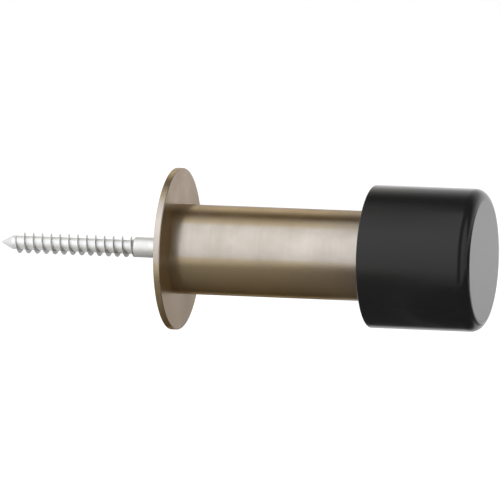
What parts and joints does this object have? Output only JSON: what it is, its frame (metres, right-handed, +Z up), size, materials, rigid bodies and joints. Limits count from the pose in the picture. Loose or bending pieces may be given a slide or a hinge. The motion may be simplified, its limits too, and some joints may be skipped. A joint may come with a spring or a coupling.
{
  "type": "wall door stop",
  "caption": "Wall door stop: a round bronze-finish post on a thin flat rose, with a thick black rubber buffer cap on its front end and a wood-screw fixing behind that goes into the wall.",
  "frame": {"origin": "centre of the rose's rear face, which lies on the wall", "axes": "+X out of the wall along the post towards the rubber cap, -X into the wall along the screw, +Z up"},
  "size_m": [0.111, 0.036, 0.036],
  "materials": {
    "zinc_plated_steel": "bright zinc plate on rolled steel",
    "bronze_finish_brass": "satin bronze patina on turned brass",
    "black_rubber": "moulded, semi-matt"
  },
  "bodies": {
    "root": {"hanger_bolt": "zinc_plated_steel", "rose": "bronze_finish_brass", "post": "bronze_finish_brass", "rubber_cap": "black_rubber"}
  },
  "joints": []
}
